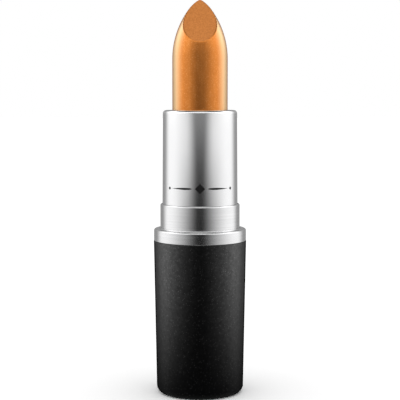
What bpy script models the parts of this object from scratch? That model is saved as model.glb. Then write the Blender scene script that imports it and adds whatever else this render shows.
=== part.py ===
"""A twist-up lipstick case with its cap off and its stick fully raised.

Twelve pieces in three moving groups, all on the Z axis, in metres, with the table at z = 0:

- the base group stands still: shell, liner, weight, label, band, neck, guide tube and brake ring;
- the turning group is the outer tube with the cam tube fixed inside it;
- the lifting group is the cup with the stick in it.

Turning the outer tube drags the cup's two lugs along the cam's helical grooves. The guide tube's
straight slots keep the cup from turning, so it slides up and down.
"""

import math

import bmesh
import bpy
from mathutils import Matrix, Vector

MM = 0.001
SEGMENTS = 36
PIN_SEGMENTS = 12
ARC_STEPS = 3
SHARP_ANGLE = math.radians(30)

# Heights above the table.
BASE_TOP = 33.78 * MM
BAND_TOP = 36.42 * MM
NECK_TOP = 41.9 * MM
TUBE_TOP = 62.4 * MM
STICK_TOP = 86.4 * MM

# Outer radii.
BASE_FOOT_RADIUS = 9.56 * MM
BASE_TOP_RADIUS = 10.18 * MM
BAND_RADIUS = 10.135 * MM
NECK_RADIUS = 8.725 * MM
TUBE_TOP_RADIUS = 8.125 * MM
TUBE_RADIUS = 8.265 * MM
STICK_RADIUS = 6.05 * MM

# Clearances: between fixed pieces, and between pieces that slide or turn on each other.
SEAT_GAP = 0.04 * MM
RUN_GAP = 0.06 * MM

# The twist: how far the stick travels and how far the tube turns for it.
TRAVEL = 25.0 * MM
TWIST = math.radians(540)
PITCH = TRAVEL / (TWIST / math.tau)
LUG_RADIUS = 0.8 * MM
LUG_SIDE_GAP = 0.1 * MM
LUG_END_GAP = 0.3 * MM
LUG_Z = 55.6 * MM
STARTS = 2

# Walls and bores, from the stick outwards.
CUP_BORE = STICK_RADIUS + 0.03 * MM
CUP_RADIUS = 6.5 * MM
GUIDE_BORE = CUP_RADIUS + RUN_GAP
GUIDE_RADIUS = 7.06 * MM
CAM_BORE = GUIDE_RADIUS + RUN_GAP
CAM_RADIUS = 7.72 * MM
GROOVE_RADIUS = 7.52 * MM
LUG_TIP_RADIUS = 7.44 * MM
TUBE_BORE = CAM_RADIUS + SEAT_GAP
NECK_BORE = TUBE_RADIUS + 1.5 * RUN_GAP

# Cup and stick.
CUP_BOTTOM = LUG_Z - 2.0 * MM
CUP_HEIGHT = 7.8 * MM
CUP_FLOOR = 0.8 * MM
CUP_LEAD_IN = 0.3 * MM
CUP_VENT_RADIUS = 1.2 * MM
RIB_COUNT = 6
RIB_WIDTH = 0.5 * MM
RIB_HEIGHT = 0.4 * MM
RIB_SETBACK = 1.2 * MM

# Outer tube's rolled rim.
RIM_BORE = 6.7 * MM
RIM_THICKNESS = 0.5 * MM
RIM_ROUND = 0.75 * MM

# Mechanism heights.
TUBE_BOTTOM = 29.7 * MM
CAM_BOTTOM = 23.0 * MM
CAM_TOP = 61.1 * MM
CAM_FLANGE = 1.0 * MM
GUIDE_TOP = 61.2 * MM
GUIDE_WALL = 0.6 * MM
GUIDE_FLOOR = 0.7 * MM
PLUG_BOTTOM = 14.5 * MM
PLUG_WALL = 0.9 * MM
PLUG_LEAD_IN = 0.4 * MM
FLANGE_TOP = CAM_BOTTOM - RUN_GAP
FLANGE_BOTTOM = FLANGE_TOP - 1.0 * MM
FLANGE_RADIUS = 8.2 * MM
SNAP_Z = 24.5 * MM
SNAP_HEIGHT = 0.2 * MM
BRAKE_Z = 27.0 * MM
BRAKE_SECTION = 0.37 * MM

# Band, sleeve and base walls.
SHEET = 0.4 * MM
BAND_ROUND = 0.42 * MM
NECK_ROUND = 0.3 * MM
STEP_THICKNESS = 0.56 * MM
BASE_WALL = 0.85 * MM
CAVITY_FLOOR = 1.6 * MM
CAVITY_CORNER = 0.4 * MM
EDGE_BREAK = 0.1 * MM
FOOT_ROUND = 1.5 * MM
LIP_HEIGHT = 1.8 * MM
SLEEVE_BOTTOM = 31.0 * MM
LINER_BORE = 8.4 * MM
SOCKET_BORE = 7.9 * MM
WEB_THICKNESS = 1.2 * MM
WEIGHT_RADIUS = 8.0 * MM
WEIGHT_HEIGHT = 4.5 * MM
WEIGHT_CHAMFER = 0.3 * MM
LABEL_RADIUS = 6.9 * MM
LABEL_THICKNESS = 0.2 * MM
LABEL_RECESS = 0.35 * MM
LABEL_CLEARANCE = 0.2 * MM

# The nose of the stick: its sides and back draw in along arcs, and a slanted flat face cuts its front (-Y)
# from a foot below the tip up to the tip, which stands a little behind the axis.
NOSE_LENGTH = 13.0 * MM
TIP_HALF_WIDTH = 0.54 * MM
TIP_SETBACK = 1.23 * MM
FRONT_SHARE = 0.5
FACE_FOOT = 9.45 * MM
NOSE_OVERRUN = 0.35 * MM
NOSE_RINGS = 12


def clear_scene():
    """Removes what is in the scene, so that only the case is left."""
    for obj in list(bpy.data.objects):
        bpy.data.objects.remove(obj, do_unlink=True)


def make_collection(name):
    """A new collection under the scene."""
    collection = bpy.data.collections.new(name)
    bpy.context.scene.collection.children.link(collection)
    return collection


def make_material(name, colour, roughness, metallic=0.0):
    """A plain Principled BSDF material."""
    material = bpy.data.materials.new(name)
    material.use_nodes = True
    shader = material.node_tree.nodes["Principled BSDF"]
    shader.inputs["Base Color"].default_value = (*colour, 1.0)
    shader.inputs["Roughness"].default_value = roughness
    shader.inputs["Metallic"].default_value = metallic
    material.diffuse_color = (*colour, 1.0)
    return material


def make_group(name, z):
    """An empty on the axis that carries one moving group."""
    empty = bpy.data.objects.new(name, None)
    empty.location = (0.0, 0.0, z)
    empty.empty_display_size = 5 * MM
    CASE.objects.link(empty)
    return empty


def add_part(name, mesh, material, group, z=0.0):
    """One piece of the case, at height z on the axis, carried by its group."""
    mesh.name = name
    mesh.materials.clear()
    mesh.materials.append(material)
    mesh.shade_smooth()
    mesh.set_sharp_from_angle(angle=SHARP_ANGLE)
    part = bpy.data.objects.new(name, mesh)
    CASE.objects.link(part)
    part.parent = group
    part.location = (0.0, 0.0, z - group.location.z)
    return part


def add_cutter(name, mesh, location=(0.0, 0.0, 0.0), rotation=(0.0, 0.0, 0.0)):
    """A helper solid for a Boolean, left out of the case."""
    cutter = bpy.data.objects.new(name, mesh)
    CUTTERS.objects.link(cutter)
    cutter.location = location
    cutter.rotation_euler = rotation
    cutter.hide_render = True
    cutter.display_type = "WIRE"
    return cutter


def combine(part, helper, operation):
    """Cuts the helper from the part, or joins it on."""
    modifier = part.modifiers.new(f"{operation.lower()} {helper.name}", "BOOLEAN")
    modifier.operation = operation
    modifier.object = helper
    modifier.solver = "EXACT"


def arc(centre, radius, start, end, steps=ARC_STEPS):
    """Points (r, z) along a round stretch of a profile, between two angles in degrees."""
    angles = [math.radians(start + (end - start) * i / steps) for i in range(steps + 1)]
    return [(centre[0] + radius * math.cos(a), centre[1] + radius * math.sin(a)) for a in angles]


def screwed(points, closed, angle=math.tau, rise=0.0, steps=SEGMENTS):
    """The mesh swept by turning a profile of (r, z) points about the Z axis."""
    count = len(points)
    edges = [(i, i + 1) for i in range(count - 1)]
    if closed:
        edges.append((count - 1, 0))
    profile = bpy.data.meshes.new("profile")
    profile.from_pydata([(r, 0.0, z) for r, z in points], edges, [])
    holder = bpy.data.objects.new("profile", profile)
    bpy.context.scene.collection.objects.link(holder)
    screw = holder.modifiers.new("Screw", "SCREW")
    screw.axis = "Z"
    screw.angle = angle
    screw.screw_offset = rise
    screw.steps = steps
    screw.render_steps = steps
    screw.use_merge_vertices = True
    screw.merge_threshold = 1e-6
    bpy.context.view_layer.update()
    evaluated = holder.evaluated_get(bpy.context.evaluated_depsgraph_get())
    mesh = bpy.data.meshes.new_from_object(evaluated)
    bpy.data.objects.remove(holder, do_unlink=True)
    bpy.data.meshes.remove(profile)
    return mesh


def tube(points):
    """A hollow turned mesh from a closed profile, whose outer side runs downwards."""
    return screwed(points, closed=True)


def turned_solid(points):
    """A turned mesh whose profile starts and ends on the axis, its outer side running downwards."""
    return screwed(points, closed=False)


def box(size, centre=(0.0, 0.0, 0.0)):
    """A box mesh of the given size."""
    mesh = bpy.data.meshes.new("box")
    shape = bmesh.new()
    place = Matrix.Translation(centre) @ Matrix.Diagonal((*size, 1.0))
    bmesh.ops.create_cube(shape, size=1.0, matrix=place)
    shape.to_mesh(mesh)
    shape.free()
    return mesh


def cross_pin(radius, length):
    """A cylinder mesh lying along X, centred on the origin."""
    mesh = bpy.data.meshes.new("cross_pin")
    shape = bmesh.new()
    bmesh.ops.create_cone(
        shape,
        cap_ends=True,
        segments=PIN_SEGMENTS,
        radius1=radius,
        radius2=radius,
        depth=length,
        matrix=Matrix.Rotation(math.pi / 2, 4, "Y"),
    )
    shape.to_mesh(mesh)
    shape.free()
    return mesh


def base_radius(z):
    """Outer radius of the tapered base at height z."""
    return BASE_FOOT_RADIUS + (BASE_TOP_RADIUS - BASE_FOOT_RADIUS) * z / BASE_TOP


def cavity_radius(z):
    """Inner radius of the base shell at height z."""
    return base_radius(z) - BASE_WALL


def tube_radius(z):
    """Outer radius of the outer tube, which tapers above the neck."""
    share = min(1.0, (TUBE_TOP - z) / (TUBE_TOP - NECK_TOP))
    return TUBE_TOP_RADIUS + (TUBE_RADIUS - TUBE_TOP_RADIUS) * share


def base_shell(group):
    """The black outer shell: a tapered cup with a rounded foot, a label recess and a lip inside the band."""
    shoulder = BASE_TOP - SEAT_GAP
    lip_top = BASE_TOP + LIP_HEIGHT
    lip_radius = BAND_RADIUS - SHEET - SEAT_GAP
    foot_centre = (base_radius(FOOT_ROUND) - FOOT_ROUND, FOOT_ROUND)
    recess = LABEL_RADIUS + LABEL_CLEARANCE
    profile = [
        (0.0, CAVITY_FLOOR),
        (cavity_radius(CAVITY_FLOOR) - CAVITY_CORNER, CAVITY_FLOOR),
        (cavity_radius(CAVITY_FLOOR), CAVITY_FLOOR + CAVITY_CORNER),
        (cavity_radius(shoulder), lip_top),
        (lip_radius, lip_top),
        (lip_radius, shoulder),
        (base_radius(shoulder) - EDGE_BREAK, shoulder),
        (base_radius(shoulder), shoulder - EDGE_BREAK),
        *arc(foot_centre, FOOT_ROUND, 0, -90, steps=5),
        (recess, 0.0),
        (recess, LABEL_RECESS),
        (0.0, LABEL_RECESS),
    ]
    return add_part("base_shell", turned_solid(profile), BLACK, group)


def bottom_label(group):
    """The thin round label in the recess under the base, with a blank face."""
    profile = [(0.0, LABEL_THICKNESS), (LABEL_RADIUS, LABEL_THICKNESS), (LABEL_RADIUS, 0.0), (0.0, 0.0)]
    z = LABEL_RECESS - LABEL_THICKNESS - SEAT_GAP
    return add_part("bottom_label", turned_solid(profile), LABEL, group, z)


def base_weight(group):
    """The steel slug that makes the base heavy."""
    profile = [
        (0.0, WEIGHT_HEIGHT),
        (WEIGHT_RADIUS - WEIGHT_CHAMFER, WEIGHT_HEIGHT),
        (WEIGHT_RADIUS, WEIGHT_HEIGHT - WEIGHT_CHAMFER),
        (WEIGHT_RADIUS, WEIGHT_CHAMFER),
        (WEIGHT_RADIUS - WEIGHT_CHAMFER, 0.0),
        (0.0, 0.0),
    ]
    z = CAVITY_FLOOR + SEAT_GAP
    return add_part("base_weight", turned_solid(profile), STEEL, group, z)


def base_liner(group):
    """The moulding inside the base: a pocket for the weight, a socket and ledge for the guide tube's plug and
    flange, and a seat for the neck sleeve."""
    bottom = CAVITY_FLOOR + CAVITY_CORNER
    top = BASE_TOP + LIP_HEIGHT - EDGE_BREAK
    pocket = WEIGHT_RADIUS + SEAT_GAP
    pocket_top = CAVITY_FLOOR + WEIGHT_HEIGHT + 2 * SEAT_GAP
    socket_floor = pocket_top + WEB_THICKNESS
    flange_ledge = FLANGE_BOTTOM - SEAT_GAP
    sleeve_ledge = SLEEVE_BOTTOM - SEAT_GAP
    seat = NECK_RADIUS + 2 * SEAT_GAP
    profile = [
        (0.0, socket_floor),
        (SOCKET_BORE, socket_floor),
        (SOCKET_BORE, flange_ledge),
        (LINER_BORE, flange_ledge),
        (LINER_BORE, sleeve_ledge),
        (seat, sleeve_ledge),
        (seat, top),
        (cavity_radius(BASE_TOP) - SEAT_GAP, top),
        (cavity_radius(BASE_TOP) - SEAT_GAP, BASE_TOP),
        (cavity_radius(bottom) - SEAT_GAP, bottom),
        (pocket, bottom),
        (pocket, pocket_top),
        (0.0, pocket_top),
    ]
    return add_part("base_liner", turned_solid(profile), NATURAL_PLASTIC, group)


def base_band(group):
    """The aluminium trim ring over the base's lip, whose top is the step that a cap rests on."""
    hole = NECK_RADIUS + SEAT_GAP
    under_step = BAND_TOP - STEP_THICKNESS
    profile = [
        (hole, BAND_TOP),
        *arc((BAND_RADIUS - BAND_ROUND, BAND_TOP - BAND_ROUND), BAND_ROUND, 90, 0),
        (BAND_RADIUS, BASE_TOP),
        (BAND_RADIUS - SHEET, BASE_TOP),
        (BAND_RADIUS - SHEET, under_step),
        (hole, under_step),
    ]
    return add_part("base_band", tube(profile), ALUMINIUM, group)


def neck_sleeve(group):
    """The aluminium sleeve that a cap grips. Its lower end is seated in the liner."""
    profile = [
        (NECK_BORE, NECK_TOP),
        *arc((NECK_RADIUS - NECK_ROUND, NECK_TOP - NECK_ROUND), NECK_ROUND, 90, 0),
        (NECK_RADIUS, SLEEVE_BOTTOM),
        (NECK_BORE, SLEEVE_BOTTOM),
    ]
    return add_part("neck_sleeve", tube(profile), ALUMINIUM, group)


def guide_tube(group):
    """The slotted inner tube, with its floor, brake groove, snap bead and flange, and a ribbed plug below."""
    brake_floor = CAM_BORE - 2 * BRAKE_SECTION - 2 * SEAT_GAP
    groove = BRAKE_SECTION + 2 * SEAT_GAP
    core = brake_floor - GUIDE_WALL
    floor_top = BRAKE_Z - 2 * GUIDE_FLOOR
    core_top = BRAKE_Z + GUIDE_FLOOR
    rib_reach = SOCKET_BORE - SEAT_GAP
    plug_radius = rib_reach - RIB_HEIGHT
    plug_bore = plug_radius - PLUG_WALL
    snap_radius = GUIDE_RADIUS + SNAP_HEIGHT
    profile = [
        (0.0, floor_top),
        (core, floor_top),
        (core, core_top),
        (GUIDE_BORE, core_top + GUIDE_WALL),
        (GUIDE_BORE, GUIDE_TOP),
        (GUIDE_RADIUS, GUIDE_TOP),
        (GUIDE_RADIUS, BRAKE_Z + groove),
        (brake_floor, BRAKE_Z + groove),
        (brake_floor, BRAKE_Z - groove),
        (GUIDE_RADIUS, BRAKE_Z - groove),
        (GUIDE_RADIUS, SNAP_Z + 1.5 * SNAP_HEIGHT),
        (snap_radius, SNAP_Z + 0.5 * SNAP_HEIGHT),
        (snap_radius, SNAP_Z - 0.5 * SNAP_HEIGHT),
        (GUIDE_RADIUS, SNAP_Z - 1.5 * SNAP_HEIGHT),
        (GUIDE_RADIUS, FLANGE_TOP),
        (FLANGE_RADIUS, FLANGE_TOP),
        (FLANGE_RADIUS, FLANGE_BOTTOM),
        (plug_radius, FLANGE_BOTTOM),
        (plug_radius, PLUG_BOTTOM + PLUG_LEAD_IN),
        (plug_radius - PLUG_LEAD_IN, PLUG_BOTTOM),
        (plug_bore, PLUG_BOTTOM),
        (plug_bore, floor_top - 2 * GUIDE_FLOOR),
        (0.0, floor_top - GUIDE_FLOOR),
    ]
    part = add_part("guide_tube", turned_solid(profile), NATURAL_PLASTIC, group)
    slot_width = 2 * (LUG_RADIUS + LUG_SIDE_GAP)
    slot_length = TRAVEL + 2 * (LUG_RADIUS + LUG_END_GAP)
    slot = box((4 * GUIDE_RADIUS, slot_width, slot_length))
    combine(part, add_cutter("guide_slots", slot, (0.0, 0.0, LUG_Z - TRAVEL / 2)), "DIFFERENCE")
    rib_length = FLANGE_BOTTOM - PLUG_BOTTOM - PLUG_LEAD_IN
    rib = box((2 * RIB_HEIGHT, RIB_WIDTH, rib_length), (rib_reach - RIB_HEIGHT, 0.0, EDGE_BREAK))
    rib_z = FLANGE_BOTTOM - rib_length / 2
    for index, turn in enumerate(rib_turns()):
        helper = add_cutter(f"plug_rib_{index + 1}", rib.copy(), (0.0, 0.0, rib_z), (0.0, 0.0, turn))
        combine(part, helper, "UNION")
    return part


def brake_ring(group):
    """The rubber ring between the guide tube and the cam."""
    bpy.ops.mesh.primitive_torus_add(
        major_radius=CAM_BORE - BRAKE_SECTION - SEAT_GAP,
        minor_radius=BRAKE_SECTION,
        major_segments=SEGMENTS,
        minor_segments=8,
    )
    made = bpy.context.object
    mesh = made.data
    bpy.data.objects.remove(made, do_unlink=True)
    return add_part("brake_ring", mesh, RUBBER, group, BRAKE_Z)


def helical_groove(index):
    """A helical bar that cuts one of the cam's grooves, from the bottom of a lug's travel to the top."""
    slope = math.atan(PITCH / (math.tau * CAM_BORE))
    width = 2 * (LUG_RADIUS / math.cos(slope) + 2 * LUG_SIDE_GAP)
    overrun = (LUG_RADIUS + LUG_END_GAP) / CAM_BORE
    sweep = TWIST + 2 * overrun
    rise = PITCH * sweep / math.tau
    start_z = LUG_Z - TRAVEL - PITCH * overrun / math.tau
    inner = CAM_BORE - GUIDE_WALL
    outer = GROOVE_RADIUS
    section = [(outer, width / 2), (outer, -width / 2), (inner, -width / 2), (inner, width / 2)]
    steps = round(sweep / math.tau * SEGMENTS)
    mesh = screwed(section, closed=True, angle=sweep, rise=rise, steps=steps)
    shape = bmesh.new()
    shape.from_mesh(mesh)
    ends = [edge for edge in shape.edges if edge.is_boundary]
    bmesh.ops.holes_fill(shape, edges=ends, sides=4)
    bmesh.ops.recalc_face_normals(shape, faces=shape.faces)
    shape.to_mesh(mesh)
    shape.free()
    turn = -TWIST - overrun + index * math.tau / STARTS
    return add_cutter(f"cam_groove_{index + 1}", mesh, (0.0, 0.0, start_z), (0.0, 0.0, turn))


def cam_tube(group):
    """The sleeve with the helical grooves, a snap groove near its foot, and a flange under the outer tube."""
    flange_top = TUBE_BOTTOM - SEAT_GAP
    flange_radius = TUBE_RADIUS - SEAT_GAP
    snap_radius = CAM_BORE + SNAP_HEIGHT
    profile = [
        (CAM_RADIUS, CAM_TOP),
        (CAM_RADIUS, flange_top),
        (flange_radius, flange_top),
        (flange_radius, flange_top - CAM_FLANGE),
        (CAM_RADIUS, flange_top - CAM_FLANGE),
        (CAM_RADIUS, CAM_BOTTOM),
        (CAM_BORE, CAM_BOTTOM),
        (CAM_BORE, SNAP_Z - 2.5 * SNAP_HEIGHT),
        (snap_radius, SNAP_Z - 1.5 * SNAP_HEIGHT),
        (snap_radius, SNAP_Z + 1.5 * SNAP_HEIGHT),
        (CAM_BORE, SNAP_Z + 2.5 * SNAP_HEIGHT),
        (CAM_BORE, CAM_TOP),
    ]
    part = add_part("cam_tube", tube(profile), WHITE_PLASTIC, group)
    for index in range(STARTS):
        combine(part, helical_groove(index), "DIFFERENCE")
    return part


def outer_tube(group):
    """The satin aluminium tube that the fingers turn, with its top edge rolled in over the mechanism."""
    rim_centre = (tube_radius(TUBE_TOP) - RIM_ROUND, TUBE_TOP - RIM_ROUND)
    under_rim = TUBE_TOP - RIM_THICKNESS
    profile = [
        (RIM_BORE, TUBE_TOP - EDGE_BREAK),
        (RIM_BORE + EDGE_BREAK, TUBE_TOP),
        *arc(rim_centre, RIM_ROUND, 90, 0),
        (tube_radius(NECK_TOP), NECK_TOP),
        (TUBE_RADIUS, TUBE_BOTTOM),
        (TUBE_BORE, TUBE_BOTTOM),
        (TUBE_BORE, under_rim),
        (RIM_BORE, under_rim),
    ]
    return add_part("outer_tube", tube(profile), ALUMINIUM, group)


def bullet_cup(group):
    """The carrier: a cup with a vented floor, gripping ribs inside and two lugs outside."""
    profile = [
        (CUP_BORE, CUP_HEIGHT),
        (CUP_RADIUS - EDGE_BREAK, CUP_HEIGHT),
        (CUP_RADIUS, CUP_HEIGHT - EDGE_BREAK),
        (CUP_RADIUS, CUP_LEAD_IN),
        (CUP_RADIUS - CUP_LEAD_IN, 0.0),
        (CUP_VENT_RADIUS, 0.0),
        (CUP_VENT_RADIUS, CUP_FLOOR),
        (CUP_BORE, CUP_FLOOR),
    ]
    part = add_part("bullet_cup", tube(profile), WHITE_PLASTIC, group, CUP_BOTTOM)
    length = LUG_TIP_RADIUS - CUP_BORE - EDGE_BREAK
    for name, side in (("lug_left", -1), ("lug_right", 1)):
        centre = (side * (LUG_TIP_RADIUS - length / 2), 0.0, LUG_Z)
        combine(part, add_cutter(name, cross_pin(LUG_RADIUS, length), centre), "UNION")
    rib = cup_rib(RIB_HEIGHT, RIB_WIDTH, CUP_HEIGHT - CUP_FLOOR - RIB_SETBACK)
    for index, turn in enumerate(rib_turns()):
        place = (0.0, 0.0, CUP_BOTTOM + CUP_FLOOR)
        combine(part, add_cutter(f"cup_rib_{index + 1}", rib.copy(), place, (0.0, 0.0, turn)), "UNION")
    return part


def cup_rib(rise, width, length):
    """A bar rooted in the cup's wall and floor, standing in from the wall and up from the floor."""
    depth = rise + (CUP_RADIUS - CUP_BORE) / 2
    size = (depth, width, length + CUP_FLOOR / 2)
    return box(size, (CUP_BORE - rise + depth / 2, 0.0, length - size[2] / 2))


def rib_turns():
    """The angles of the cup's ribs, which stand between the lugs."""
    return [(index + 0.5) * math.tau / RIB_COUNT for index in range(RIB_COUNT)]


def drawn_in(tip_reach, below_tip):
    """How far the nose has drawn in from the stick's radius, along an arc that starts upright and ends at
    tip_reach from the axis when it reaches the tip."""
    drop = STICK_RADIUS - tip_reach
    arc_radius = (NOSE_LENGTH**2 + drop**2) / (2 * drop)
    run = max(0.0, NOSE_LENGTH - below_tip)
    return arc_radius - math.sqrt(arc_radius**2 - run**2)


def half_width(below_tip):
    """Half the stick's width, side to side."""
    return STICK_RADIUS - drawn_in(TIP_HALF_WIDTH, below_tip)


def back_reach(below_tip):
    """How far the stick reaches behind the axis."""
    return STICK_RADIUS - drawn_in(TIP_SETBACK, below_tip)


def front_reach(below_tip):
    """How far the stick would reach in front of the axis without its flat face."""
    return STICK_RADIUS - FRONT_SHARE * drawn_in(TIP_HALF_WIDTH, below_tip)


def stick_mesh(bottom):
    """The stick before its face is cut: round rings below, drawn in ring by ring towards the tip."""
    span = NOSE_LENGTH + NOSE_OVERRUN
    below = [STICK_TOP - bottom]
    below += [NOSE_LENGTH - span * i / NOSE_RINGS for i in range(NOSE_RINGS + 1)]
    turns = [math.tau * i / SEGMENTS for i in range(SEGMENTS)]
    shape = bmesh.new()
    rings = []
    for distance in below:
        width = half_width(distance)
        back = back_reach(distance)
        front = front_reach(distance)
        height = STICK_TOP - bottom - distance
        ring = []
        for turn in turns:
            depth = back if math.sin(turn) > 0 else front
            ring.append(shape.verts.new((width * math.cos(turn), depth * math.sin(turn), height)))
        rings.append(ring)
    for low, high in zip(rings, rings[1:]):
        for i in range(SEGMENTS):
            j = (i + 1) % SEGMENTS
            shape.faces.new((low[i], low[j], high[j], high[i]))
    shape.faces.new(reversed(rings[0]))
    shape.faces.new(rings[-1])
    mesh = bpy.data.meshes.new("stick")
    shape.to_mesh(mesh)
    shape.free()
    return mesh


def face_cutter():
    """A large block whose underside is the plane of the slanted face."""
    foot = Vector((0.0, -front_reach(FACE_FOOT), STICK_TOP - FACE_FOOT))
    tip = Vector((0.0, back_reach(0.0), STICK_TOP))
    slope = math.atan2(tip.z - foot.z, tip.y - foot.y)
    side = 5 * STICK_RADIUS
    block = box((side, side, side), (0.0, 0.0, side / 2))
    return add_cutter("face_cut", block, (foot + tip) / 2, (slope, 0.0, 0.0))


def lipstick_bullet(group):
    """The stick, with its foot notched by the cup's ribs and the slanted face on its nose."""
    bottom = CUP_BOTTOM + CUP_FLOOR + SEAT_GAP
    part = add_part("lipstick_bullet", stick_mesh(bottom), WAX, group, bottom)
    combine(part, face_cutter(), "DIFFERENCE")
    rise = RIB_HEIGHT + SEAT_GAP
    width = RIB_WIDTH + 2 * SEAT_GAP
    notch = cup_rib(rise, width, CUP_HEIGHT - CUP_FLOOR - RIB_SETBACK + SEAT_GAP)
    for index, turn in enumerate(rib_turns()):
        place = (0.0, 0.0, CUP_BOTTOM + CUP_FLOOR)
        helper = add_cutter(f"stick_notch_{index + 1}", notch.copy(), place, (0.0, 0.0, turn))
        combine(part, helper, "DIFFERENCE")
    return part


clear_scene()
CASE = make_collection("lipstick_case")
CUTTERS = make_collection("cutters")

BLACK = make_material("speckled_black", (0.012, 0.012, 0.013), 0.38)
ALUMINIUM = make_material("satin_aluminium", (0.80, 0.80, 0.81), 0.28, 1.0)
STEEL = make_material("zinc_steel", (0.55, 0.56, 0.58), 0.45, 1.0)
NATURAL_PLASTIC = make_material("natural_plastic", (0.80, 0.80, 0.77), 0.45)
WHITE_PLASTIC = make_material("white_plastic", (0.86, 0.86, 0.85), 0.35)
RUBBER = make_material("silicone_rubber", (0.35, 0.36, 0.37), 0.60)
LABEL = make_material("label_film", (0.78, 0.77, 0.74), 0.50)
WAX = make_material("copper_wax", (0.62, 0.27, 0.07), 0.35, 0.3)

BASE_GROUP = make_group("base_group", 0.0)
TURNING_GROUP = make_group("turning_group", CAM_BOTTOM)
LIFTING_GROUP = make_group("lifting_group", CUP_BOTTOM)

base_shell(BASE_GROUP)
bottom_label(BASE_GROUP)
base_weight(BASE_GROUP)
base_liner(BASE_GROUP)
base_band(BASE_GROUP)
neck_sleeve(BASE_GROUP)
guide_tube(BASE_GROUP)
brake_ring(BASE_GROUP)
cam_tube(TURNING_GROUP)
outer_tube(TURNING_GROUP)
bullet_cup(LIFTING_GROUP)
lipstick_bullet(LIFTING_GROUP)
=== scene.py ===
"""The lipstick case dressed for its picture: fine turned pieces, procedural finishes, light and a camera.

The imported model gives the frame. Each visible CAD node is replaced by a finely turned piece of the same size
that rides on the same body, and the hidden mechanism keeps its CAD shapes with finished materials.
"""

import math

import bmesh
import bpy
from mathutils import Matrix, Vector


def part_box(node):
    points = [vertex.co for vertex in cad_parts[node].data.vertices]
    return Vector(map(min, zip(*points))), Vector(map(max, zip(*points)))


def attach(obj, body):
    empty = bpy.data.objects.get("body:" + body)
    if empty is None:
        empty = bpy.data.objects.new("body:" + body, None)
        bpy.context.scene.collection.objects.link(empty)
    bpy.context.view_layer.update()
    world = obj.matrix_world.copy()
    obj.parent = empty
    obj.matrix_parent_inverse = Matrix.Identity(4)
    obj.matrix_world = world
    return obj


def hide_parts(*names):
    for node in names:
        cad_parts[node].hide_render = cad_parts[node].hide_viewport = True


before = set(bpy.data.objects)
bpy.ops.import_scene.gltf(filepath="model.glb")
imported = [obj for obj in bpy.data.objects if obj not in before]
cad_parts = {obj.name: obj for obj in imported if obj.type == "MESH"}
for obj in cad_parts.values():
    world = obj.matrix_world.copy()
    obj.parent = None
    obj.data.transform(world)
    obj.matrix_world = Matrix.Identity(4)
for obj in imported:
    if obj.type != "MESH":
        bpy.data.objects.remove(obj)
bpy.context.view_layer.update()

MM = 0.001
TURN_SEGMENTS = 192
ARC_STEP = math.radians(9)
SHARP_ANGLE = math.radians(35)

# Sizes that the CAD nodes' boxes don't give.
BASE_FOOT_RADIUS = 9.56 * MM
BASE_FOOT_ROUND = 1.5 * MM
BASE_WALL = 0.85 * MM
BASE_FLOOR = 1.6 * MM
BASE_CAVITY_ROUND = 0.4 * MM
RECESS_DEPTH = 0.35 * MM
RECESS_CLEARANCE = 0.2 * MM
BAND_SHEET = 0.4 * MM
BAND_STEP = 0.56 * MM
BAND_ROUND = 0.42 * MM
BAND_FILLET = 0.22 * MM
NECK_WALL = 0.375 * MM
NECK_ROUND = 0.35 * MM
TUBE_TOP_RADIUS = 8.125 * MM
TUBE_BORE = 7.76 * MM
RIM_BORE = 6.7 * MM
RIM_THICKNESS = 0.5 * MM
RIM_ROUND = 0.75 * MM
RIM_LIP_ROUND = 0.15 * MM
CUP_BORE = 6.08 * MM
CUP_FLOOR = 0.8 * MM
CUP_VENT = 1.2 * MM
CUP_LEAD_IN = 0.3 * MM
CUP_RIBS = 6
RIB_WIDTH = 0.5 * MM
RIB_RISE = 0.4 * MM
LUG_RADIUS = 0.8 * MM
LUG_HEIGHT = 2.0 * MM
LUG_SEGMENTS = 48
BEVEL = 0.1 * MM
EDGE = 0.06 * MM
THIN_EDGE = 0.03 * MM
GAP = 0.04 * MM

# The stick's nose: arched sides and back, and a flat slanted face at the front (-Y).
NOSE_LENGTH = 13.0 * MM
TIP_HALF_WIDTH = 0.54 * MM
TIP_SETBACK = 1.23 * MM
FRONT_SHARE = 0.5
FACE_FOOT = 9.45 * MM
FACE_EDGE = 0.1 * MM
MOST_SOFTNESS = 0.8
TIP_CUT = 0.05 * MM
NOSE_RINGS = 200
STICK_SEGMENTS = 160
SHANK_INSET = 0.45 * MM
SHANK_SETBACK = 1.2 * MM

# The printed ornament on the tube, laid out along the tube's front.
ORNAMENT_HEIGHT = 3.75 * MM
ORNAMENT_RULE = (1.7 * MM, 6.7 * MM)
ORNAMENT_RULE_WIDTH = 0.44 * MM
ORNAMENT_DIAMOND = 1.1 * MM
ORNAMENT_END = (7.5 * MM, 0.38 * MM)
DIAMOND_STEPS = 12
RULE_STEPS = 24
RULE_SWELL = 0.6
INK_THICKNESS = 0.015 * MM
INK_TIP = 0.02 * MM

# Camera, measured from a point on the axis. The lens and sensor are in millimetres, as Blender takes them.
CAMERA_TARGET = 42.63 * MM
CAMERA_DISTANCE = 259.9 * MM
CAMERA_TILT = math.radians(4.84)
CAMERA_LENS = 106.2
SENSOR_WIDTH = 36.0

# The room and the floor.
ROOM_LIGHT = 1.25
FLOOR_IN_METAL = 0.6
FLOOR_REACH = 4.0
FLOOR_DROP = 0.02 * MM

# The tent of light round the object.
TENT_RADIUS = 110 * MM
TENT_FOOT = -70 * MM
TENT_TOP = 190 * MM
TENT_SEGMENTS = 96


def degrees(start, end):
    """A span of turn round the object, measured from straight in front."""
    return math.radians(start), math.radians(end)


def heights(start, end):
    """A span of height above the table, or of depth behind the axis, given in millimetres."""
    return start * MM, end * MM


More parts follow.
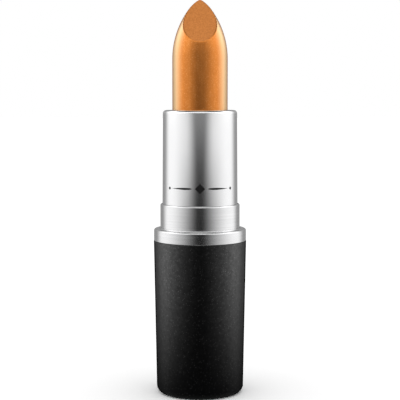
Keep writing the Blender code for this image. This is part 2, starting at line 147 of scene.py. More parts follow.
# Where each change in the glow of the tent's lower wall starts and ends.
NARROW_SLOT = degrees(0, 42)
BROAD_SLOT = degrees(0, 95)
SIDE_RISE = degrees(35, 80)
BACK_FALL = degrees(104, 134)
STRIP_TURN = degrees(168, 174)
STRIP_TOP = heights(64, 56)
NARROWING = heights(33, 54)
BROADENING = heights(60, 70)
TUBE_TOP_RISE = heights(60, 72)
SLOT_CLIMB = heights(28, 60)
FOOT_RISE = heights(-30, 24)

# The same for the glow above it, whose foot is lower at the sides than in front.
UPPER_FOOT_TURN = degrees(20, 60)
UPPER_FOOT_LEVEL = heights(99, 80)
UPPER_FADE = 35 * MM
UPPER_SIDE_RISE = degrees(25, 60)
UPPER_BACK_FALL = degrees(118, 150)
ROOF_FRONT = heights(-90, -55)
ROOF_BACK = heights(20, 80)

# Finishes: how finely flecks and glitter are scattered, how their cells are turned, the heights that the
# base's sheen grows over, and the printed ring's share of the label's radius.
FLECKS_PER_MM = 3.2
GLITTER_PER_MM = 9.0
SLANTING_AXIS = (0.8, 0.5, 0.33)
SLANTING_TURN = 1.1
SHEEN_SPAN_MM = (-3.5, 35.5)
LABEL_RING_SHARE = 0.88


def node_radius(node):
    """Outer radius of a turned CAD node, from its box along Y, because the cup's lugs stand out along X."""
    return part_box(node)[1].y


def node_span(node):
    """Lowest and highest point of a CAD node."""
    low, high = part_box(node)
    return low.z, high.z


STICK_RADIUS = node_radius("lipstick_bullet")


# ---------------------------------------------------------------- mesh tools


def rounded(corners, closed):
    """Points along an outline of (radius, height, rounding) corners, with each rounding drawn as an arc."""
    points = []
    count = len(corners)
    for index, (r, z, rounding) in enumerate(corners):
        at_end = not closed and index in (0, count - 1)
        if rounding <= 0 or at_end:
            points.append((r, z))
            continue
        corner = Vector((r, z))
        before = Vector(corners[index - 1][:2])
        after = Vector(corners[(index + 1) % count][:2])
        points += corner_arc(corner, before, after, rounding)
    return points


def corner_arc(corner, before, after, rounding):
    """Points of the arc that rounds one corner of an outline."""
    inward = (before - corner).normalized()
    outward = (after - corner).normalized()
    half = inward.angle(outward) / 2
    reach = rounding / math.tan(half)
    centre = corner + (inward + outward).normalized() * (rounding / math.sin(half))
    first = corner + inward * reach - centre
    last = corner + outward * reach - centre
    sweep = first.angle(last)
    steps = max(2, math.ceil(sweep / ARC_STEP))
    turn = sweep if first.x * last.y - first.y * last.x > 0 else -sweep
    points = []
    for step in range(steps + 1):
        angle = turn * step / steps
        x = centre.x + first.x * math.cos(angle) - first.y * math.sin(angle)
        y = centre.y + first.x * math.sin(angle) + first.y * math.cos(angle)
        points.append((x, y))
    return points


def turned_shape(corners, closed=True):
    """A shape turned about the Z axis from an outline whose outer side runs downwards."""
    shape = bmesh.new()
    rings = []
    for r, z in rounded(corners, closed):
        if r <= 0:
            rings.append([shape.verts.new((0.0, 0.0, z))])
            continue
        ring = []
        for step in range(TURN_SEGMENTS):
            angle = math.tau * step / TURN_SEGMENTS
            ring.append(shape.verts.new((r * math.cos(angle), r * math.sin(angle), z)))
        rings.append(ring)
    pairs = list(zip(rings, rings[1:]))
    if closed:
        pairs.append((rings[-1], rings[0]))
    for upper, lower in pairs:
        join_rings(shape, upper, lower)
    return shape


def turned(name, corners, closed=True):
    """A piece turned about the Z axis."""
    return finished(name, turned_shape(corners, closed))


def join_rings(shape, upper, lower):
    """Faces between two rings; either ring may be a single point on the axis."""
    count = max(len(upper), len(lower))
    for i in range(count):
        j = (i + 1) % count
        if len(upper) == 1:
            shape.faces.new((upper[0], lower[i], lower[j]))
        elif len(lower) == 1:
            shape.faces.new((upper[i], lower[0], upper[j]))
        else:
            shape.faces.new((upper[i], lower[i], lower[j], upper[j]))


def finished(name, shape):
    """An object made from a bmesh: shaded smooth, with normals weighted by face so flats stay flat."""
    mesh = bpy.data.meshes.new(name)
    shape.to_mesh(mesh)
    shape.free()
    mesh.shade_smooth()
    mesh.set_sharp_from_angle(angle=SHARP_ANGLE)
    piece = bpy.data.objects.new(name, mesh)
    bpy.context.scene.collection.objects.link(piece)
    normals = piece.modifiers.new("Even normals", "WEIGHTED_NORMAL")
    normals.keep_sharp = True
    return piece


def dress(piece, material, body, slot, *replaced):
    """Gives a piece its material and body, and hides the CAD nodes that it stands for. The slot argument is
    not used.
    """
    piece.data.materials.append(material)
    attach(piece, body)
    if replaced:
        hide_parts(*replaced)


# ---------------------------------------------------------------- shader tools


class Shader:
    """Adds and joins nodes in one material's or world's tree."""

    def __init__(self, tree):
        self.tree = tree
        tree.nodes.clear()

    def node(self, kind, inputs=None, **settings):
        made = self.tree.nodes.new(kind)
        for key, value in settings.items():
            setattr(made, key, value)
        for key, value in (inputs or {}).items():
            self.feed(made.inputs[key], value)
        return made

    def feed(self, socket, value):
        if isinstance(value, bpy.types.NodeSocket):
            self.tree.links.new(value, socket)
        else:
            socket.default_value = value

    def math(self, operation, first, second=0.0):
        """One arithmetic step."""
        return self.node("ShaderNodeMath", {0: first, 1: second}, operation=operation).outputs[0]

    def plus(self, first, second):
        return self.math("ADD", first, second)

    def times(self, *values):
        """The product of two or more values."""
        product = values[0]
        for value in values[1:]:
            product = self.math("MULTIPLY", product, value)
        return product

    def ease(self, value, start, end, low=0.0, high=1.0):
        """A smooth step from low to high as value goes from start to end."""
        inputs = {"Value": value, "From Min": start, "From Max": end, "To Min": low, "To Max": high}
        return self.node("ShaderNodeMapRange", inputs, interpolation_type="SMOOTHSTEP").outputs[0]

    def scale(self, value, low, high, out_low, out_high):
        """value carried from one range to another in a straight line, and held at its ends."""
        inputs = {"Value": value, "From Min": low, "From Max": high, "To Min": out_low, "To Max": out_high}
        return self.node("ShaderNodeMapRange", inputs).outputs[0]

    def mix(self, share, first, second):
        """A blend of two colours."""
        made = self.node("ShaderNodeMix", data_type="RGBA")
        self.feed(made.inputs[0], share)
        self.feed(made.inputs[6], first)
        self.feed(made.inputs[7], second)
        return made.outputs[2]

    def blend(self, share, first, second):
        """A blend of two values."""
        return self.node("ShaderNodeMix", {0: share, 2: first, 3: second}).outputs[0]

    def axes(self, vector):
        """The X, Y and Z parts of a vector, as named outputs."""
        return self.node("ShaderNodeSeparateXYZ", {0: vector}).outputs

    def facing(self):
        """0 where the surface looks at the viewer, rising to 1 at the outline."""
        return self.node("ShaderNodeLayerWeight", {"Blend": 0.5}).outputs["Facing"]

    def round_tangent(self):
        """The direction round the Z axis, for marks left by turning."""
        return self.node("ShaderNodeTangent", direction_type="RADIAL", axis="Z").outputs[0]

    def normal(self):
        """The way the surface faces, in the object's own axes."""
        return self.node("ShaderNodeTexCoord").outputs["Normal"]

    def cells(self, per_mm):
        """Scattered cells: the distance from the nearest cell's middle, and that cell's random values."""
        inputs = {"Vector": self.askew(self.place((per_mm,) * 3)), "Scale": 1.0, "Randomness": 1.0}
        made = self.node("ShaderNodeTexVoronoi", inputs, feature="F1")
        chances = self.node("ShaderNodeSeparateColor", {0: made.outputs["Color"]}).outputs
        return made.outputs["Distance"], chances

    def place(self, stretch):
        """Object coordinates in millimetres, stretched along each axis."""
        point = self.node("ShaderNodeTexCoord").outputs["Object"]
        stretch_per_metre = Vector(stretch) / MM
        made = self.node("ShaderNodeVectorMath", {0: point, 1: stretch_per_metre}, operation="MULTIPLY")
        return made.outputs[0]

    def askew(self, point):
        """A point turned about a slanting axis, so that no row of cells lines up with the object."""
        inputs = {"Vector": point, "Axis": SLANTING_AXIS, "Angle": SLANTING_TURN}
        return self.node("ShaderNodeVectorRotate", inputs, rotation_type="AXIS_ANGLE").outputs[0]

    def noise(self, stretch, detail=2.0, roughness=0.5):
        """Noise between 0 and 1 whose features are 1 mm across, divided by stretch along each axis."""
        inputs = {"Vector": self.place(stretch), "Scale": 1.0, "Detail": detail, "Roughness": roughness}
        return self.node("ShaderNodeTexNoise", inputs).outputs[0]

    def bump(self, height, depth_mm, normal=None):
        """A normal bent by height, whose full range is depth_mm deep."""
        inputs = {"Height": height, "Distance": depth_mm * MM, "Strength": 1.0}
        if normal is not None:
            inputs["Normal"] = normal
        return self.node("ShaderNodeBump", inputs).outputs[0]

    def finish(self, surface, target="ShaderNodeOutputMaterial"):
        self.node(target, {"Surface": surface})

    def skin(self, inputs):
        """Ends a material's tree with one principled surface."""
        self.finish(self.node("ShaderNodeBsdfPrincipled", inputs).outputs[0])


def grey(value):
    return (value, value, value, 1.0)


def new_shader(name):
    """A new material and the shader that fills its tree."""
    material = bpy.data.materials.new(name)
    material.use_nodes = True
    return material, Shader(material.node_tree)


# ---------------------------------------------------------------- finishes


def satin_aluminium():
    """The tube: a smooth satin skin with faint, fine drawing marks round it."""
    material, shade = new_shader("satin_aluminium")
    cloud = shade.noise((0.35, 0.35, 0.2), detail=3.0)
    marks = shade.noise((0.08, 0.08, 9.0), detail=4.0, roughness=0.65)
    drawn = shade.scale(marks, 0.3, 0.7, 0.165, 0.20)
    shade.skin(
        {
            "Base Color": shade.mix(cloud, (0.86, 0.86, 0.865, 1), (0.90, 0.90, 0.905, 1)),
            "Metallic": 1.0,
            "Roughness": shade.plus(drawn, shade.times(cloud, 0.02)),
            "Anisotropic": 0.35,
            "Anisotropic Rotation": 0.25,
            "Tangent": shade.round_tangent(),
            "Normal": shade.bump(marks, 0.0006),
        }
    )
    return material


def turned_aluminium():
    """The neck and band: aluminium with fine turning lines round it, rougher where it faces up, with painted
    shade darkening its colour there.
    """
    material, shade = new_shader("turned_aluminium")
    lines = shade.noise((0.05, 0.05, 5.5), detail=5.0, roughness=0.7)
    broken = shade.noise((0.5, 0.5, 14.0), detail=2.0)
    upward_dull_and_shade = shade.ease(shade.axes(shade.normal())["Z"], 0.80, 0.98)
    tone = shade.scale(lines, 0.3, 0.7, 0.0, 1.0)
    colour = shade.mix(tone, (0.80, 0.80, 0.805, 1), (0.90, 0.90, 0.905, 1))
    cut = shade.scale(lines, 0.3, 0.7, 0.175, 0.225)
    shade.skin(
        {
            # Painted shade: faces that look up get a darker grey colour, besides their rougher finish.
            "Base Color": shade.mix(upward_dull_and_shade, colour, (0.56, 0.56, 0.565, 1)),
            "Metallic": 1.0,
            "Roughness": shade.plus(cut, shade.times(upward_dull_and_shade, 0.12)),
            "Anisotropic": 0.5,
            "Anisotropic Rotation": 0.25,
            "Tangent": shade.round_tangent(),
            "Normal": shade.bump(shade.plus(lines, shade.times(broken, 0.4)), 0.0022),
        }
    )
    return material


def speckled_black():
    """The base: satin black with a dusting of tiny pale flecks. Its sheen grows towards its sides, dies away
    at its outline and fades towards the foot."""
    material, shade = new_shader("speckled_black")
    distance, chances = shade.cells(FLECKS_PER_MM)
    dot = shade.ease(distance, 0.45, 0.15)
    chosen = shade.ease(chances[0], 0.60, 0.96)
    fleck = shade.times(dot, chosen)
    cloud = shade.noise((0.8, 0.8, 0.8), detail=4.0, roughness=0.6)
    mottle = shade.noise((1.3, 1.3, 1.3), detail=4.0, roughness=0.7)
    grain = shade.noise((9.0, 9.0, 9.0), detail=2.0)
    black = shade.mix(cloud, (0.0008, 0.0008, 0.0009, 1), (0.0020, 0.0020, 0.0022, 1))
    facing = shade.facing()
    height_mm = shade.axes(shade.place((1.0, 1.0, 1.0)))["Z"]
    sheen = shade.times(
        shade.scale(facing, 0.02, 0.30, 0.54, 1.04),
        shade.scale(facing, 0.36, 0.80, 1.0, 0.0),
        shade.scale(mottle, 0.3, 0.7, 0.70, 1.30),
        shade.scale(fleck, 0.0, 1.0, 1.0, 2.6),
        shade.ease(height_mm, *SHEEN_SPAN_MM),
    )
    shade.skin(
        {
            "Base Color": shade.mix(fleck, black, (0.014, 0.014, 0.014, 1)),
            "Metallic": shade.times(fleck, 0.2),
            "Roughness": shade.scale(cloud, 0.2, 0.8, 0.29, 0.35),
            "Specular IOR Level": sheen,
            "Normal": shade.bump(grain, 0.0012),
        }
    )
    return material


def copper_wax():
    """The stick: pearly copper-gold wax with fine glitter and faint mould lines, and a painted pale highlight
    towards its outline. The slanted face has a dull, less metallic finish, and its darker colour is painted
    shade."""
    material, shade = new_shader("copper_wax")
    streaks = shade.noise((1.6, 1.6, 0.04), detail=3.0, roughness=0.6)
    cloud = shade.noise((0.6, 0.6, 0.5), detail=3.0)
    grain = shade.noise((7.0, 7.0, 7.0), detail=2.0)
    speckle = shade.noise((2.4, 2.4, 2.4), detail=4.0, roughness=0.75)
    chances = shade.cells(GLITTER_PER_MM)[1]

    tone = shade.times(shade.plus(streaks, cloud), 0.5)
    colour = shade.mix(shade.ease(tone, 0.3, 0.7), (0.60, 0.190, 0.033, 1), (0.71, 0.238, 0.045, 1))
    glitter = shade.times(shade.ease(chances[0], 0.8, 1.0), 0.45)
    colour = shade.mix(glitter, colour, (0.98, 0.46, 0.15, 1))
    facing = shade.facing()
    # Painted highlight: the colour pales to cream towards the outline, then turns back to a deeper brown at
    # the outline itself.
    colour = shade.mix(shade.ease(facing, 0.18, 0.62), colour, (1.0, 0.67, 0.35, 1))
    colour = shade.mix(shade.ease(facing, 0.68, 0.88), colour, (0.70, 0.26, 0.06, 1))

    aim = shade.node("ShaderNodeVectorMath", {0: shade.normal(), 1: face_normal()}, operation="DOT_PRODUCT")
    on_face = shade.ease(aim.outputs["Value"], 0.985, 0.998)
    # Painted shade: the slanted face gets a darker colour than the body, besides its duller, less metallic
    # finish.
    dull_face_and_painted_shade = shade.mix(shade.ease(speckle, 0.32, 0.68), (0.50, 0.160, 0.021, 1), (0.63, 0.220, 0.038, 1))
    roughness = shade.scale(cloud, 0.2, 0.8, 0.32, 0.38)
    pits = shade.plus(grain, shade.times(chances[1], 0.8))
    shade.skin(
        {
            "Base Color": shade.mix(on_face, colour, dull_face_and_painted_shade),
            "Metallic": shade.scale(on_face, 0.0, 1.0, 0.95, 0.3),
            "Roughness": shade.plus(roughness, shade.times(on_face, 0.15)),
            "Coat Weight": 0.08,
            "Coat Roughness": 0.3,
            "Normal": shade.bump(pits, 0.003, shade.bump(streaks, 0.003)),
        }
    )
    return material


def moulded_plastic(name, colour, shadow, roughness):
    """Plain injection-moulded plastic with a faint flow pattern and a fine skin."""
    material, shade = new_shader(name)
    flow = shade.noise((0.5, 0.5, 0.15), detail=3.0)
    grain = shade.noise((12.0, 12.0, 12.0), detail=2.0)
    shade.skin(
        {
            "Base Color": shade.mix(flow, colour, shadow),
            "Roughness": shade.scale(flow, 0.2, 0.8, roughness - 0.04, roughness + 0.04),
            "Subsurface Weight": 0.15,
            "Subsurface Radius": (1.0, 1.0, 1.0),
            "Subsurface Scale": 0.4 * MM,
            "Normal": shade.bump(grain, 0.001),
        }
    )
    return material


def silicone_rubber():
    """The brake ring: grey rubber with a greasy, slightly uneven skin."""
    material, shade = new_shader("silicone_rubber")
    grease = shade.noise((2.0, 2.0, 2.0), detail=3.0)
    shade.skin(
        {
            "Base Color": shade.mix(grease, (0.25, 0.26, 0.27, 1), (0.33, 0.34, 0.35, 1)),
            "Roughness": shade.scale(grease, 0.3, 0.7, 0.3, 0.6),
            "Normal": shade.bump(grease, 0.004),
        }
    )
    return material


def zinc_steel():
    """The weight: dull zinc-plated steel, mottled by the plating."""
    material, shade = new_shader("zinc_steel")
    mottle = shade.noise((1.2, 1.2, 1.2), detail=5.0, roughness=0.6)
    shade.skin(
        {
            "Base Color": shade.mix(mottle, (0.42, 0.43, 0.46, 1), (0.62, 0.63, 0.64, 1)),
            "Metallic": 1.0,
            "Roughness": shade.scale(mottle, 0.3, 0.7, 0.35, 0.55),
            "Normal": shade.bump(mottle, 0.006),
        }
    )
    return material


def label_film():
    """The blank label: coated paper with a faint fibre and one thin printed ring near its edge."""
    material, shade = new_shader("label_film")
    fibre = shade.noise((3.0, 3.0, 3.0), detail=4.0)
    flat = shade.place((1.0, 1.0, 0.0))
    radius_mm = shade.node("ShaderNodeVectorMath", {0: flat}, operation="LENGTH").outputs["Value"]
    ring_radius_mm = LABEL_RING_SHARE * node_radius("bottom_label") / MM
    off_ring = shade.math("ABSOLUTE", shade.math("SUBTRACT", radius_mm, ring_radius_mm))
    ring = shade.ease(off_ring, 0.14, 0.08)
    paper = shade.mix(fibre, (0.74, 0.73, 0.70, 1), (0.82, 0.81, 0.78, 1))
    shade.skin(
        {
            "Base Color": shade.mix(ring, paper, (0.05, 0.05, 0.05, 1)),
            "Roughness": 0.5,
            "Normal": shade.bump(fibre, 0.004),
        }
    )
    return material


def printing_ink():
    """The ornament: a thin, slightly uneven film of black ink."""
    material, shade = new_shader("printing_ink")
    film = shade.noise((6.0, 6.0, 6.0), detail=3.0)
    shade.skin(
        {
            "Base Color": shade.mix(film, (0.003, 0.003, 0.003, 1), (0.008, 0.008, 0.008, 1)),
            "Roughness": shade.scale(film, 0.3, 0.7, 0.4, 0.55),
            "Specular IOR Level": 0.25,
            "Normal": shade.bump(film, 0.001),
        }
    )
    return material


# ---------------------------------------------------------------- pieces


def base_taper(z):
    """Outer radius of the base at height z."""
    top = node_span("base_band")[0]
    return BASE_FOOT_RADIUS + (node_radius("base_shell") - BASE_FOOT_RADIUS) * z / top


def base_shell():
    """The tapered black shell, with its rounded foot, the label's recess and the lip under the band."""
    shoulder = node_span("base_band")[0] - GAP
    lip_top = node_span("base_shell")[1]
    recess = node_radius("bottom_label") + RECESS_CLEARANCE
    lip = node_radius("base_band") - BAND_SHEET - GAP
    cavity_top = base_taper(shoulder) - BASE_WALL
    cavity_foot = base_taper(BASE_FLOOR) - BASE_WALL
    corners = [
        (0.0, BASE_FLOOR, 0),
        (cavity_foot, BASE_FLOOR, BASE_CAVITY_ROUND),
        (cavity_top, lip_top, EDGE),
        (lip, lip_top, EDGE),
        (lip, shoulder, 0),
        (base_taper(shoulder), shoulder, BEVEL),
        (base_taper(0.0), 0.0, BASE_FOOT_ROUND),
        (recess, 0.0, EDGE),
        (recess, RECESS_DEPTH, EDGE),
        (0.0, RECESS_DEPTH, 0),
    ]
    return turned("base_outer", corners, closed=False)


def bottom_label():
    """The thin label in the recess."""
    low, high = node_span("bottom_label")
    radius = node_radius("bottom_label")
    corners = [(0.0, high, 0), (radius, high, THIN_EDGE), (radius, low, THIN_EDGE), (0.0, low, 0)]
    return turned("label_disc", corners, closed=False)


def base_band():
    """The trim ring: swept up a little round the neck, rounded at its top edge and bevelled at its foot."""
    low, high = node_span("base_band")
    outer = node_radius("base_band")
    hole = node_radius("neck_sleeve") + GAP
    corners = [
        (hole, high + BAND_FILLET + GAP, 0),
        (hole + GAP, high + BAND_FILLET + GAP, 0),
        (hole + GAP, high, BAND_FILLET),
        (outer, high, BAND_ROUND),
        (outer, low, BEVEL),
        (outer - BAND_SHEET, low, EDGE),
        (outer - BAND_SHEET, high - BAND_STEP, EDGE),
        (hole, high - BAND_STEP, EDGE),
    ]
    return turned("trim_band", corners)


def neck_sleeve():
    """The sleeve that a cap grips, with a rounded mouth round the tube."""
    low, high = node_span("neck_sleeve")
    outer = node_radius("neck_sleeve")
    bore = outer - NECK_WALL
    corners = [(bore, high, EDGE), (outer, high, NECK_ROUND), (outer, low, EDGE), (bore, low, EDGE)]
    return turned("neck_ring", corners)


def outer_tube():
    """The turning tube, slightly tapered above the neck, with its top edge rolled in."""
    low, high = node_span("outer_tube")
    outer = node_radius("outer_tube")
    waist = node_span("neck_sleeve")[1]
    corners = [
        (RIM_BORE, high, RIM_LIP_ROUND),
        (TUBE_TOP_RADIUS, high, RIM_ROUND),
        (outer, waist, 0),
        (outer, low, EDGE),
        (TUBE_BORE, low, EDGE),
        (TUBE_BORE, high - RIM_THICKNESS, EDGE),
        (RIM_BORE, high - RIM_THICKNESS, RIM_LIP_ROUND),
    ]
    return turned("twist_sleeve", corners)


def bullet_cup():
    """The carrier: a vented cup with ribs inside that grip the stick and two round lugs outside."""
    low, high = node_span("bullet_cup")
    outer = node_radius("bullet_cup")
    corners = [
        (CUP_BORE, high, EDGE),
        (outer, high, EDGE),
        (outer, low, CUP_LEAD_IN),
        (CUP_VENT, low, EDGE),
        (CUP_VENT, low + CUP_FLOOR, EDGE),
        (CUP_BORE, low + CUP_FLOOR, 0),
    ]
    shape = turned_shape(corners)
    lug_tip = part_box("bullet_cup")[1].x
    wall = (CUP_BORE + outer) / 2
    for side in (-1, 1):
        middle = Matrix.Translation((side * (wall + lug_tip) / 2, 0.0, low + LUG_HEIGHT))
        upright = Matrix.Rotation(math.pi / 2, 4, "Y")
        bmesh.ops.create_cone(
            shape,
            cap_ends=True,
            segments=LUG_SEGMENTS,
            radius1=LUG_RADIUS,
            radius2=LUG_RADIUS,
            depth=lug_tip - wall,
            matrix=middle @ upright,
        )
    rib_foot = low + CUP_FLOOR / 2
    rib_top = high - SHANK_SETBACK
    for index in range(CUP_RIBS):
        turn = Matrix.Rotation(math.tau * (index + 0.5) / CUP_RIBS, 4, "Z")
        middle = Matrix.Translation((wall - RIB_RISE / 2, 0.0, (rib_foot + rib_top) / 2))
        size = Matrix.Diagonal((wall - CUP_BORE + RIB_RISE, RIB_WIDTH, rib_top - rib_foot, 1.0))
        bmesh.ops.create_cube(shape, size=1.0, matrix=turn @ middle @ size)
    return finished("carrier_cup", shape)


def drawn_in(tip_reach, below_tip):
    """How far the nose has drawn in from the stick's radius, along an arc that starts upright and ends at
    tip_reach from the axis when it reaches the tip."""
    drop = STICK_RADIUS - tip_reach
    arc_radius = (NOSE_LENGTH**2 + drop**2) / (2 * drop)
    run = max(0.0, NOSE_LENGTH - below_tip)
    return arc_radius - math.sqrt(arc_radius**2 - run**2)


def soft_least(first, second, softness):
    """The lesser of two lengths, with the corner between them rounded off."""
    near = max(softness - abs(first - second), 0.0) / softness
    return min(first, second) - near * near * softness / 4


def across(start, direction, half_width, depth):
    """Distance from start (0, y) along a direction to the ellipse of that half width and depth."""
    a = (direction.x / half_width) ** 2 + (direction.y / depth) ** 2
    b = 2 * start * direction.y / depth**2
    c = (start / depth) ** 2 - 1
    return (-b + math.sqrt(b * b - 4 * a * c)) / (2 * a)


def section_reach(below_tip, direction, middle):
    """Distance from the middle of a section of the nose to its surface, the slanted face included."""
    width = STICK_RADIUS - drawn_in(TIP_HALF_WIDTH, below_tip)
    back = STICK_RADIUS - drawn_in(TIP_SETBACK, below_tip)
    front = STICK_RADIUS - FRONT_SHARE * drawn_in(TIP_HALF_WIDTH, below_tip)
    reach = across(middle, direction, width, back)
    if middle + reach * direction.y < 0:
        reach = across(middle, direction, width, front)
    if direction.y < -1e-6:
        to_face = (face_depth(below_tip) - middle) / direction.y
        softness = min(FACE_EDGE, MOST_SOFTNESS * min(reach, to_face))
        reach = soft_least(reach, to_face, softness)
    return reach


def face_depth(below_tip):
    """Where the slanted face's plane lies, front to back, at a distance below the tip."""
    foot = -(STICK_RADIUS - FRONT_SHARE * drawn_in(TIP_HALF_WIDTH, FACE_FOOT))
    return TIP_SETBACK + (foot - TIP_SETBACK) * below_tip / FACE_FOOT


def face_normal():
    """The direction that the slanted face looks in."""
    run = face_depth(0.0) - face_depth(FACE_FOOT)
    return Vector((0.0, -FACE_FOOT, run)).normalized()


def section_middle(below_tip):
    """A point inside the section on the YZ plane: the axis, or further back where the face has passed it."""
    back = STICK_RADIUS - drawn_in(TIP_SETBACK, below_tip)
    return max(0.0, (face_depth(below_tip) + back) / 2)


def lipstick_bullet():
    """The moulded stick: a slimmer shank where the cup's ribs grip it, a round body and the slanted nose."""
    low, tip = node_span("lipstick_bullet")
    grip_top = node_span("bullet_cup")[1] - SHANK_SETBACK
    shank = STICK_RADIUS - SHANK_INSET
    shape = bmesh.new()
    directions = []
    for step in range(STICK_SEGMENTS):
        angle = math.tau * step / STICK_SEGMENTS
        directions.append(Vector((math.cos(angle), math.sin(angle))))
    rings = [[shape.verts.new((0.0, 0.0, low))]]
    for radius, z in ((shank, low), (shank, grip_top), (STICK_RADIUS, grip_top + SHANK_INSET)):
        rings.append([shape.verts.new((radius * d.x, radius * d.y, z)) for d in directions])
    for step in range(NOSE_RINGS + 1):
        below_tip = NOSE_LENGTH + (TIP_CUT - NOSE_LENGTH) * step / NOSE_RINGS
        middle = section_middle(below_tip)
        ring = []
        for d in directions:
            reach = section_reach(below_tip, d, middle)
            ring.append(shape.verts.new((reach * d.x, middle + reach * d.y, tip - below_tip)))
        rings.append(ring)
    rings.append([shape.verts.new((0.0, section_middle(TIP_CUT), tip - TIP_CUT / 2))])
    for lower, upper in zip(rings, rings[1:]):
        join_rings(shape, upper, lower)
    return finished("stick", shape)


def tube_front_radius(z):
    """Outer radius of the turning tube at height z above the neck."""
    waist = node_span("neck_sleeve")[1]
    top = node_span("outer_tube")[1]
    share = (z - waist) / (top - waist)
    return node_radius("outer_tube") + (TUBE_TOP_RADIUS - node_radius("outer_tube")) * share


def printed(shape, outline):
    """Lays a strip of ink on the tube's front. The outline lists (along, half height) from left to right."""
    middle = node_span("neck_sleeve")[1] + ORNAMENT_HEIGHT
    rows = []
    for lift in (INK_THICKNESS, -INK_THICKNESS):
        for side in (-1, 1):
            row = []
            for along, half_height in outline:
                z = middle + side * half_height
                radius = tube_front_radius(z) + lift
                angle = along / tube_front_radius(middle)
                row.append(shape.verts.new((radius * math.sin(angle), -radius * math.cos(angle), z)))
            rows.append(row)
    top_low, top_high, under_low, under_high = rows
    for i in range(len(outline) - 1):
        shape.faces.new((top_low[i], top_low[i + 1], top_high[i + 1], top_high[i]))
        shape.faces.new((under_high[i], under_high[i + 1], under_low[i + 1], under_low[i]))
        shape.faces.new((under_low[i], under_low[i + 1], top_low[i + 1], top_low[i]))
        shape.faces.new((top_high[i], top_high[i + 1], under_high[i + 1], under_high[i]))
    shape.faces.new((under_low[0], top_low[0], top_high[0], under_high[0]))
    shape.faces.new((under_high[-1], top_high[-1], top_low[-1], under_low[-1]))


def diamond(shape, centre, size):
    """A printed diamond, centred a distance along the tube's front."""
    outline = []
    for step in range(-DIAMOND_STEPS, DIAMOND_STEPS + 1):
        share = step / DIAMOND_STEPS
        outline.append((centre + size * share, max(INK_TIP, size * (1 - abs(share)))))
    printed(shape, outline)


def rule(shape, start, end):
    """A printed line that swells quickly from its start and tapers off to its end."""
    outline = []
    for step in range(RULE_STEPS + 1):
        share = step / RULE_STEPS
        half_height = ORNAMENT_RULE_WIDTH / 2 * math.sin(math.pi * share**RULE_SWELL)
        outline.append((start + (end - start) * share, max(INK_TIP, half_height)))
    printed(shape, outline if end > start else outline[::-1])


def tube_ornament():
    """A plain printed ornament: a diamond between two tapering rules, each ended by a small diamond."""
    shape = bmesh.new()
    diamond(shape, 0.0, ORNAMENT_DIAMOND)
    start, end = ORNAMENT_RULE
    end_centre, end_size = ORNAMENT_END
    for side in (-1, 1):
        rule(shape, side * start, side * end)
        diamond(shape, side * end_centre, end_size)
    return finished("tube_ornament", shape)


# ---------------------------------------------------------------- stage


def make_camera():
    """A long lens a little above the object, looking along +Y."""
    data = bpy.data.cameras.new("camera")
    data.lens = CAMERA_LENS
    data.sensor_width = SENSOR_WIDTH
    data.clip_start = 10 * MM
    data.clip_end = 20.0
    camera = bpy.data.objects.new("camera", data)
    bpy.context.scene.collection.objects.link(camera)
    back = Vector((0.0, -math.cos(CAMERA_TILT), math.sin(CAMERA_TILT)))
    camera.location = Vector((0.0, 0.0, CAMERA_TARGET)) + back * CAMERA_DISTANCE
    camera.rotation_euler = (-back).to_track_quat("-Z", "Y").to_euler()
    bpy.context.scene.camera = camera


def make_world():
    """A pale, even room. It is dimmer for glossy rays, which reach it only through the tent's open foot, and
    there it stands for the pale floor that upright metal shows when it is seen from above."""
    world = bpy.data.worlds.new("studio")
    bpy.context.scene.world = world
    world.use_nodes = True
    shade = Shader(world.node_tree)
    rays = shade.node("ShaderNodeLightPath").outputs
    light = shade.mix(rays["Is Glossy Ray"], grey(ROOM_LIGHT), grey(FLOOR_IN_METAL))
    colour = shade.mix(rays["Is Camera Ray"], light, grey(1.0))
    shade.finish(shade.node("ShaderNodeBackground", {"Color": colour}).outputs[0], "ShaderNodeOutputWorld")


def staged(name, shape, material):
    """A piece of the stage, made from a bmesh."""
    mesh = bpy.data.meshes.new(name)
    shape.to_mesh(mesh)
    shape.free()
    mesh.materials.append(material)
    piece = bpy.data.objects.new(name, mesh)
    bpy.context.scene.collection.objects.link(piece)
    return piece


def floor_material():
    """Pale paper from above, and clear from below."""
    material, shade = new_shader("pale_floor")
    mottle = shade.noise((0.02, 0.02, 0.02), detail=3.0)
    pale = shade.mix(mottle, grey(0.88), grey(0.90))
    paper = shade.node("ShaderNodeBsdfDiffuse", {"Color": pale}).outputs[0]
    below = shade.node("ShaderNodeNewGeometry").outputs["Backfacing"]
    clear = shade.node("ShaderNodeBsdfTransparent").outputs[0]
    shade.finish(shade.node("ShaderNodeMixShader", {0: below, 1: paper, 2: clear}).outputs[0])
    return material


def make_floor():
    """A plain pale floor that takes the object's soft shadow. The world stands for it in reflections."""
    shape = bmesh.new()
    bmesh.ops.create_grid(shape, x_segments=8, y_segments=8, size=FLOOR_REACH)
    floor = staged("floor", shape, floor_material())
    floor.location.z = -FLOOR_DROP
    floor.visible_glossy = False
    floor.visible_diffuse = False


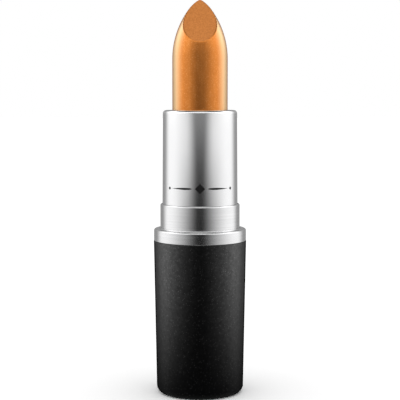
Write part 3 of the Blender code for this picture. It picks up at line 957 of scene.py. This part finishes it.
def lower_light(shade, turn, height):
    """The glow of the tent's lower wall: a dark slot in front, narrower at the height that the tube
    reflects, bright sides, and a dim back with one lit strip."""
    narrow = shade.plus(
        shade.ease(turn, *NARROW_SLOT, 0.0, 0.88),
        shade.scale(turn, *SIDE_RISE, 0.0, 0.2),
    )
    broad = shade.ease(turn, *BROAD_SLOT, 0.0, 1.07)
    narrowed = shade.times(
        shade.scale(height, *NARROWING, 0.0, 1.0),
        shade.scale(height, *BROADENING, 1.0, 0.3),
    )
    sides = shade.times(
        shade.blend(narrowed, broad, narrow),
        shade.ease(turn, *BACK_FALL, 1.0, 0.30),
        shade.scale(height, *TUBE_TOP_RISE, 1.0, 1.28),
    )
    climb = shade.scale(height, *SLOT_CLIMB, 0.0, 1.0)
    in_slot = shade.plus(shade.times(shade.math("POWER", climb, 3.0), 0.26), 0.012)
    strip = shade.times(shade.ease(turn, *STRIP_TURN, 0.0, 0.6), shade.ease(height, *STRIP_TOP))
    lit = shade.math("MAXIMUM", shade.math("MAXIMUM", sides, in_slot), strip)
    return shade.times(lit, shade.ease(height, *FOOT_RISE, 0.62, 1.0))


def upper_light(shade, turn, depth, height):
    """The glow above: bright front and side walls, a dim back, and a dark roof lit along front and back."""
    walls = shade.times(
        shade.scale(turn, *UPPER_SIDE_RISE, 1.2, 1.55),
        shade.ease(turn, *UPPER_BACK_FALL, 1.0, 0.16),
    )
    roof = shade.plus(
        shade.scale(depth, *ROOF_FRONT, 1.3, 0.09),
        shade.scale(depth, *ROOF_BACK, 0.0, 0.3),
    )
    on_roof = shade.ease(height, TENT_TOP - 5 * MM, TENT_TOP - 1 * MM)
    return shade.blend(on_roof, walls, roof)


def tent_material():
    """A glow that depends on the turn from straight in front, alike to left and right, and on the height."""
    material, shade = new_shader("tent_light")
    point = shade.axes(shade.node("ShaderNodeNewGeometry").outputs["Position"])
    toward = shade.math("MULTIPLY", point["Y"], -1.0)
    turn = shade.math("ARCTAN2", shade.math("ABSOLUTE", point["X"]), toward)
    height = point["Z"]
    upper_foot = shade.scale(turn, *UPPER_FOOT_TURN, *UPPER_FOOT_LEVEL)
    is_upper = shade.ease(shade.math("SUBTRACT", height, upper_foot), 0.0, UPPER_FADE)
    lower = lower_light(shade, turn, height)
    upper = upper_light(shade, turn, point["Y"], height)
    strength = shade.blend(is_upper, lower, upper)
    shade.finish(shade.node("ShaderNodeEmission", {"Color": grey(1.0), "Strength": strength}).outputs[0])
    return material


def make_tent():
    """A round tent, open at its foot, whose glow is seen only in reflections."""
    shape = bmesh.new()
    bmesh.ops.create_cone(
        shape,
        cap_ends=False,
        segments=TENT_SEGMENTS,
        radius1=TENT_RADIUS,
        radius2=TENT_RADIUS,
        depth=TENT_TOP - TENT_FOOT,
        matrix=Matrix.Translation((0.0, 0.0, (TENT_TOP + TENT_FOOT) / 2)),
    )
    roof_edge = [edge for edge in shape.edges if all(v.co.z > 0 for v in edge.verts) and edge.is_boundary]
    bmesh.ops.holes_fill(shape, edges=roof_edge, sides=0)
    tent = staged("light_tent", shape, tent_material())
    tent.visible_camera = False
    tent.visible_diffuse = False
    tent.visible_shadow = False
    tent.visible_transmission = False


# ---------------------------------------------------------------- assembly

satin = satin_aluminium()
lined = turned_aluminium()
black = speckled_black()
wax = copper_wax()
natural = moulded_plastic("natural_plastic", (0.80, 0.80, 0.77, 1), (0.74, 0.74, 0.71, 1), 0.45)
white = moulded_plastic("white_plastic", (0.86, 0.86, 0.85, 1), (0.81, 0.81, 0.80, 1), 0.35)

dress(base_shell(), black, "base", "speckled_black", "base_shell")
dress(bottom_label(), label_film(), "base", "label_film", "bottom_label")
dress(base_band(), lined, "base", "turned_aluminium", "base_band")
dress(neck_sleeve(), lined, "base", "turned_aluminium", "neck_sleeve")
dress(outer_tube(), satin, "twist_tube", "satin_aluminium", "outer_tube")
dress(tube_ornament(), printing_ink(), "twist_tube", "satin_aluminium")
dress(lipstick_bullet(), wax, "stick_carrier", "copper_wax", "lipstick_bullet")
dress(bullet_cup(), white, "stick_carrier", "white_plastic", "bullet_cup")

hidden_finishes = {
    "base_liner": natural,
    "guide_tube": natural,
    "cam_tube": white,
    "brake_ring": silicone_rubber(),
    "base_weight": zinc_steel(),
}
for node, material in hidden_finishes.items():
    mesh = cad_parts[node].data
    mesh.materials.clear()
    mesh.materials.append(material)

make_camera()
make_world()
make_floor()
make_tent()
bpy.context.scene.view_settings.view_transform = "Standard"
